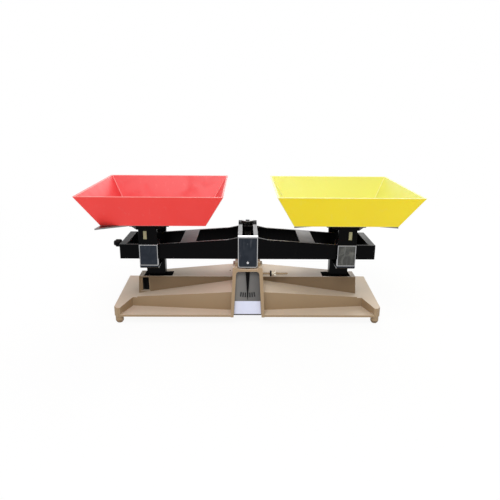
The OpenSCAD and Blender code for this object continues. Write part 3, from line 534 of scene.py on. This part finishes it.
chrome_smeared_dark_reflection = polished_metal("chrome_smeared_dark_reflection", SMEARED_DARK_REFLECTION, (0.16, 0.40), 0.7, SMEARED_DULLED,
                                0.10)
steel_rolled = brushed_metal("steel_rolled", PLATE_STEEL, (1.0, 0.03, 1.0), (0.22, 0.36))
steel_ground = brushed_metal("steel_ground", STEEL)
clip_finish = polished_metal("clip_chrome", CLIP_GREY, (0.24, 0.40), 0.3)
strip_finish = brushed_metal("strip_satin", STRIP_GREY, (0.04, 1.0, 1.0), (0.30, 0.46))
nickel_finish = brushed_metal("nickel_worn", NICKEL, (0.08, 1.0, 1.0), (0.22, 0.40))
brass_finish = brushed_metal("brass_aged", BRASS, (0.08, 1.0, 1.0), (0.42, 0.60))
dial_finish = dial_grey()
dial_foot_shadow = flat_finish("dial_foot_shadow", DIAL_FOOT_SHADOW, DIAL_FOOT_SPECKLE, (0.50, 0.70))
ink_finish = flat_finish("dial_ink", INK, BLACK, (0.40, 0.60))
label_finish = flat_finish("label_pale", LABEL, LABEL_DEEP, (0.30, 0.45))
ivory_finish = flat_finish("ivory_moulded", IVORY, IVORY_DEEP, (0.30, 0.45))


# Piece helpers

def shown(mesh, name):
    piece = bpy.data.objects.new(name, mesh)
    bpy.context.scene.collection.objects.link(piece)
    return piece


def body_holding(node):
    bodies = frame["record"]["behaviour"]["bodies"]
    return next(body for body, nodes in bodies.items() if node in nodes)


def settle(piece, node, *finishes):
    """Gives a piece its finishes and its body, and lets it stand for a node."""
    for finish in finishes:
        piece.data.materials.append(finish)
    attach(piece, body_holding(node))
    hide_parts(node)
    return piece


def clean_copy(node):
    """A copy of a node's mesh with its split corners joined and its flats undivided."""
    shape = bmesh.new()
    shape.from_mesh(frame["nodes"][node].data)
    bmesh.ops.remove_doubles(shape, verts=shape.verts, dist=0.002 * MM)
    bmesh.ops.dissolve_limit(shape, angle_limit=math.radians(0.6), verts=shape.verts,
                             edges=shape.edges, delimit={"NORMAL"})
    return shape


def cut_across(shape, spot, normal):
    """Divides the faces of a bmesh where a plane passes, so that each side can take its finish."""
    bmesh.ops.bisect_plane(shape, geom=shape.verts[:] + shape.edges[:] + shape.faces[:],
                           plane_co=spot, plane_no=normal)
    return shape


def smoothed(shape, name, sharp_degrees=30.0):
    """Turns a bmesh into a shown piece with smooth curves and crisp edges."""
    for face in shape.faces:
        face.smooth = True
    limit = math.radians(sharp_degrees)
    for edge in shape.edges:
        edge.smooth = edge.is_manifold and edge.calc_face_angle(0.0) < limit
    mesh = bpy.data.meshes.new(name)
    shape.to_mesh(mesh)
    shape.free()
    return shown(mesh, name)


def break_edges(piece, width, segments=2):
    """Rounds the sharp edges of a piece, as a mould, a press or a file leaves them."""
    rounding = piece.modifiers.new("edge_break", "BEVEL")
    rounding.width = width * MM
    rounding.segments = segments
    rounding.limit_method = "ANGLE"
    rounding.angle_limit = EDGE_ANGLE
    rounding.use_clamp_overlap = True
    rounding.harden_normals = True
    return piece


def dressed(node, width, *finishes, segments=2):
    """The node's own form with broken edges."""
    piece = smoothed(clean_copy(node), node + "_dressed")
    break_edges(piece, width, segments)
    return settle(piece, node, *finishes)


def assign_faces(piece, index, test):
    """Gives the finish at an index to the faces that pass a test of centre and normal."""
    for face in piece.data.polygons:
        if test(face.center, face.normal):
            face.material_index = index


def rows(low, high, count):
    """Evenly spaced numbers from low to high, both included."""
    return [low + (high - low) * k / (count - 1) for k in range(count)]


def turned(name, spot, rings, around, closed=True):
    """A piece turned about an X axis through spot; each ring gives x and a radius by angle."""
    shape = bmesh.new()
    loops = []
    for x, radius in rings:
        loop = []
        for k in range(around):
            turn = 2.0 * math.pi * k / around
            reach = radius(k)
            loop.append(shape.verts.new((x * MM, spot.y + reach * MM * math.cos(turn),
                                         spot.z + reach * MM * math.sin(turn))))
        loops.append(loop)
    following = loops[1:] + loops[:1] if closed else loops[1:]
    for near, far in zip(loops, following):
        for k in range(around):
            after = (k + 1) % around
            shape.faces.new((near[k], near[after], far[after], far[k]))
    if not closed:
        shape.faces.new(loops[0])
        shape.faces.new(loops[-1])
    bmesh.ops.recalc_face_normals(shape, faces=shape.faces)
    return smoothed(shape, name, 40.0)


def block(name, low, high):
    """A plain block between two corners in millimetres."""
    shape = bmesh.new()
    bmesh.ops.create_cube(shape, size=1.0)
    for vert in shape.verts:
        vert.co = Vector([(near if part < 0 else far) * MM
                          for part, near, far in zip(vert.co, low, high)])
    return smoothed(shape, name)


def plain(radius):
    return lambda k: radius


def ribbed(radius, depth):
    """Every third point of the round lies in a groove."""
    return lambda k: radius - (depth if k % 3 == 0 else 0.0)


# Base

def make_base():
    piece = dressed("base_casting", 0.7, beige_finish, hollow_shade_finish, beige_painted_shade, segments=3)
    channel_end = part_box("base_casting")[1].x - CHANNEL_TO_BASE_END * MM
    # Painted shade: the faces inside the channel take the near-black finish
    assign_faces(piece, 1, lambda centre, normal: abs(centre.y) < CHANNEL_HALF_WIDTH * MM
                 and centre.z < CHANNEL_ROOF * MM and abs(centre.x) < channel_end)
    # Painted shade: the ridge's front face under the beam takes the darker beige
    back, front = RIDGE_FRONT_Y[1] * MM, RIDGE_FRONT_Y[0] * MM
    assign_faces(piece, 2, lambda centre, normal: normal.y < STEEP_FRONT
                 and front < centre.y < back and centre.z > RIDGE_FRONT_LOW * MM
                 and abs(centre.x) > RIDGE_FRONT_FROM_MIDDLE * MM)
    pad = block("compartment_pad", PAD_LOW, PAD_HIGH)
    pad.data.materials.append(beige_finish)
    break_edges(pad, 0.3)
    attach(pad, body_holding("base_casting"))
    dressed("foot_pads", 0.5, foot_finish)
    label_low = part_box("label_plate")[0].z
    # Painted shadow: the dial below the label takes the near-black finish
    dial = smoothed(cut_across(clean_copy("dial_plate"), (0.0, 0.0, label_low), (0.0, 0.0, 1.0)),
                    "dial_plate_dressed")
    break_edges(dial, 0.15)
    settle(dial, "dial_plate", dial_finish, dial_foot_shadow)
    assign_faces(dial, 1, lambda centre, normal: centre.z < label_low)
    marks = frame["nodes"]["dial_marks"].data
    marks.materials.clear()
    marks.materials.append(ink_finish)
    dressed("label_plate", 0.12, label_finish)


# Sheet metal with a bright border round a set-back panel

def panelled(node, area, border, groove, finishes, rivet=None):
    """Sets the flat front and back faces of more than an area inside a border and a groove.

    Finishes are those of the sheet, the panel, the groove and the border. Round a rivet
    the border gives way to the panel."""
    shape = clean_copy(node)
    for sign in (-1.0, 1.0):
        faces = [face for face in shape.faces if face.normal.y * sign > FLAT_SHEET]
        if not faces:
            continue
        reach = max(face.calc_center_median().y * sign for face in faces)
        flat = [face for face in faces
                if face.calc_center_median().y * sign > reach - 0.05 * MM]
        if sum(face.calc_area() for face in flat) < area * MM * MM:
            continue
        edging = bmesh.ops.inset_region(shape, faces=flat, thickness=border * MM,
                                        use_even_offset=True)
        ring = bmesh.ops.inset_region(shape, faces=flat, thickness=groove * MM,
                                      depth=-groove * MM, use_even_offset=True)
        for face in edging["faces"]:
            face.material_index = 3
        for face in ring["faces"]:
            face.material_index = 2
        for face in flat:
            face.material_index = 1
        if rivet:
            for face in edging["faces"] + ring["faces"]:
                centre = face.calc_center_median()
                if math.hypot(centre.x - rivet.x, centre.z - rivet.z) < RIVET_ROOM * MM:
                    face.material_index = 1
    piece = smoothed(shape, node + "_dressed")
    break_edges(piece, SHEET_EDGE)
    return settle(piece, node, *finishes)


def make_covers():
    low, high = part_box("cover_rivets")
    for node in ("front_cover", "back_cover"):
        # Cover panels carry a painted dark reflection, their grooves painted shade
        panelled(node, 300.0, 0.9, 0.25, (chrome_bright, chrome_dark_reflection, hollow_shade_finish, chrome_rim),
                 rivet=(low + high) / 2)
    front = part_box("top_bridge")[0].y + BRIDGE_BEND * MM
    bridge = smoothed(cut_across(clean_copy("top_bridge"), (0.0, front, 0.0), (0.0, 1.0, 0.0)),
                      "top_bridge_dressed")
    break_edges(bridge, 0.3, 3)
    settle(bridge, "top_bridge", chrome_bright, strip_finish)
    assign_faces(bridge, 1, lambda centre, normal: normal.z > LEVEL and centre.y > front)
    dressed("rear_pad", 0.3, enamel)
    dressed("rear_clip", 0.3, clip_finish, segments=3)
    # The screw takes the painted dark reflection
    dressed("clip_screw", 0.25, chrome_dark_reflection)
    dressed("cover_rivets", 0.25, chrome_bright, segments=3)


# Beam and carriers

def make_beam():
    piece = dressed("beam_frame", 0.5, enamel, bar_top_sheen, segments=3)
    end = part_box("beam_frame")[1].x
    bars = ([x * MM for x in CROSS_BAR], [end - x * MM for x in END_BAR])
    # Painted sheen: upward faces of the cross bars take the grey
    assign_faces(piece, 1, lambda centre, normal: normal.z > UPPER_SIDE
                 and abs(centre.y) < RAIL_INSIDE * MM
                 and any(near < abs(centre.x) < far for near, far in bars))
    dressed("pointer", 0.1, enamel)
    low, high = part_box("zero_knob")
    middle = (low + high) / 2
    outer, near, far = (high.z - low.z) / 2 / MM, low.x / MM, high.x / MM
    knob = turned("zero_knob_ribbed", middle, [
        (far, plain(KNOB_BORE)), (far, plain(outer - 1.0)), (far - 0.6, plain(outer - 0.3)),
        (far - 1.0, ribbed(outer, KNOB_RIB)), (near + 2.6, ribbed(outer, KNOB_RIB)),
        (near + 2.2, plain(outer - 0.5)), (near + 2.0, plain(outer - 1.3)),
        (near + 0.5, plain(outer - 1.5)), (near, plain(outer - 2.2)), (near, plain(0.6)),
        (near + 0.4, plain(0.5)), (near + 0.6, plain(KNOB_BORE))], RIBBED_POINTS)
    settle(knob, "zero_knob", knob_black)


def make_carriers():
    # Strap panels carry a painted dark reflection, the right one also smeared; their grooves carry
    # painted shade
    for side, panel in (("left", chrome_dark_reflection), ("right", chrome_smeared_dark_reflection)):
        dressed(side + "_carrier", 0.5, enamel, segments=3)
        dressed(side + "_post", 0.5, enamel)
        strap = panelled(side + "_strap", 200.0, 0.8, 0.25,
                         (chrome_rim, panel, hollow_shade_finish, chrome_rim, chrome_dark_reflection))
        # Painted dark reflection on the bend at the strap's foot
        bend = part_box(side + "_strap")[0].z + STRAP_BEND * MM
        assign_faces(strap, 4, lambda centre, normal: centre.z < bend)
        dressed(side + "_slot_insert", 0.3, ivory_finish, segments=3)
        dressed(side + "_plate", 0.3, steel_rolled)


def make_trays():
    """Each tray has an inside in a toned copy of its plastic, which is painted light, and edges
    and corners paled by painted highlights and by handling.
    """
    for node, *finishes in (("red_tray", red_finish, red_inside_painted_light, red_edge_highlight),
                            ("yellow_tray", yellow_finish, yellow_inside_painted_light, yellow_edge_highlight)):
        piece = dressed(node, 0.6, *finishes, segments=3)
        # Painted highlight on the rounded edges
        piece.modifiers["edge_break"].material = 2
        # Painted light: faces that point up take the toned inside copy
        assign_faces(piece, 1, lambda centre, normal: normal.z > TRAY_INSIDE)


def make_adjuster():
    """The threaded brass rod beside the tower and the knurled nut on it."""
    low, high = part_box("zero_rod")
    middle = (low + high) / 2
    radius, near, far = (high.z - low.z) / 2 / MM, low.x / MM, high.x / MM
    root = radius - THREAD_DEPTH

    def threaded(x):
        def reach(k):
            turns = (x / THREAD_PITCH + k / THREAD_POINTS) % 1.0
            return radius - THREAD_DEPTH * abs(2.0 * turns - 1.0)
        return reach

    thread = [(x, threaded(x)) for x in rows(near + 0.1, far - 0.5, THREAD_RINGS)]
    rod = turned("zero_rod_threaded", middle, [
        (near, plain(root)), *thread, (far - 0.3, plain(root)),
        (far, plain(radius - 3 * THREAD_DEPTH))], THREAD_POINTS, closed=False)
    settle(rod, "zero_rod", brass_finish)

    low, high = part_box("zero_nut")
    middle = (low + high) / 2
    outer, near, far = (high.z - low.z) / 2 / MM, low.x / MM, high.x / MM
    bore, collar = radius + NUT_PLAY, (far - near) * NUT_COLLAR_SHARE
    neck = outer * NUT_NECK_SHARE
    nut = turned("zero_nut_knurled", middle, [
        (near, plain(bore)), (near, plain(outer - 0.5)), (near + 0.25, ribbed(outer, NUT_RIB)),
        (near + collar - 0.25, ribbed(outer, NUT_RIB)), (near + collar, plain(outer - 0.5)),
        (near + collar, plain(neck)), (far - collar, plain(neck)),
        (far - collar, plain(outer - 0.5)), (far - collar + 0.25, ribbed(outer, NUT_RIB)),
        (far - 0.25, ribbed(outer, NUT_RIB)), (far, plain(outer - 0.5)),
        (far, plain(bore))], RIBBED_POINTS)
    settle(nut, "zero_nut", nickel_finish, knob_black)
    assign_faces(nut, 1, lambda centre, normal: centre.x < (near + collar) * MM
                 and (centre.yz - middle.yz).length > (neck + 0.1) * MM)


def make_small_parts():
    knife = dressed("centre_knife", 0.15, steel_ground, enamel)
    assign_faces(knife, 1, lambda centre, normal: normal.z > LEVEL)
    for node in ("front_bearing_plate", "back_bearing_plate", "bearing_screws",
                 "left_knife", "right_knife", "knob_stud", "check_lever", "lever_pin",
                 "left_bearings", "right_bearings", "left_post_pin", "right_post_pin"):
        dressed(node, 0.15, steel_ground)


# Floor, light and camera

def seen_directly(tree):
    """1 where the camera, a reflection or a clear body looks at the surroundings."""
    path = place(tree, "ShaderNodeLightPath")
    seen = math_node(tree, "ADD", path.outputs["Is Camera Ray"], path.outputs["Is Glossy Ray"])
    return math_node(tree, "ADD", seen, path.outputs["Is Transmission Ray"], clamp=True)


def make_floor():
    """A pale floor that shows nearly white and keeps a soft shadow."""
    bpy.ops.mesh.primitive_plane_add(size=FLOOR_SIZE, location=(0.0, 0.0, FLOOR_LEVEL))
    floor = bpy.context.object
    floor.name = "floor"
    material, tree, shader = new_material("pale_floor")
    set_inputs(tree, shader, Base_Color=FLOOR, Roughness=0.9, Specular_IOR_Level=0.0)
    glow = place(tree, "ShaderNodeEmission", {"Color": WHITE, "Strength": 1.0})
    coords = place(tree, "ShaderNodeTexCoord")
    distance = place(tree, "ShaderNodeVectorMath", {0: coords.outputs["Object"]},
                     operation="LENGTH")
    far = place(tree, "ShaderNodeMapRange", {
        "Value": distance.outputs["Value"], "From Min": FLOOR_GLOW_NEAR,
        "From Max": FLOOR_GLOW_FAR, "To Min": FLOOR_GLOW, "To Max": 1.0}).outputs[0]
    share = math_node(tree, "MULTIPLY", seen_directly(tree), far)
    mixed = place(tree, "ShaderNodeMixShader",
                  {0: share, 1: shader.outputs[0], 2: glow.outputs[0]})
    output = next(node for node in tree.nodes if node.type == "OUTPUT_MATERIAL")
    tree.links.new(mixed.outputs[0], output.inputs[0])
    floor.data.materials.append(material)


def make_world():
    world = bpy.data.worlds.new("studio")
    bpy.context.scene.world = world
    world.use_nodes = True
    tree = world.node_tree
    tree.nodes.clear()
    extra = math_node(tree, "MULTIPLY", seen_directly(tree), 1.0 - WORLD_LIGHT)
    strength = math_node(tree, "ADD", extra, WORLD_LIGHT)
    background = place(tree, "ShaderNodeBackground", {"Color": WHITE, "Strength": strength})
    output = place(tree, "ShaderNodeOutputWorld")
    tree.links.new(background.outputs[0], output.inputs[0])


def add_lamp(name, spot, size, power):
    data = bpy.data.lights.new(name, "AREA")
    data.shape = "SQUARE"
    data.size = size
    data.energy = power
    lamp = bpy.data.objects.new(name, data)
    bpy.context.scene.collection.objects.link(lamp)
    lamp.location = spot
    lamp.rotation_euler = (Vector(LAMP_AIM) - Vector(spot)).to_track_quat("-Z", "Y").to_euler()


def make_camera():
    data = bpy.data.cameras.new("camera")
    data.sensor_width = SENSOR_MM
    data.lens = CAMERA_FOCAL_PX / FRAME_PX * SENSOR_MM
    data.clip_start = 0.01
    camera = bpy.data.objects.new("camera", data)
    bpy.context.scene.collection.objects.link(camera)
    camera.location = CAMERA_SPOT
    pitch = Matrix.Rotation(math.pi / 2 - CAMERA_PITCH, 3, "X")
    turn = Matrix.Rotation(CAMERA_YAW, 3, "Z") @ pitch
    camera.rotation_euler = (turn @ Matrix.Rotation(CAMERA_ROLL, 3, "Z")).to_euler()
    bpy.context.scene.camera = camera


make_camera()
make_base()
make_covers()
make_beam()
make_carriers()
make_trays()
make_adjuster()
make_small_parts()
make_floor()
make_world()
for lamp in LAMPS:
    add_lamp(*lamp)
bpy.context.scene.view_settings.view_transform = "Standard"
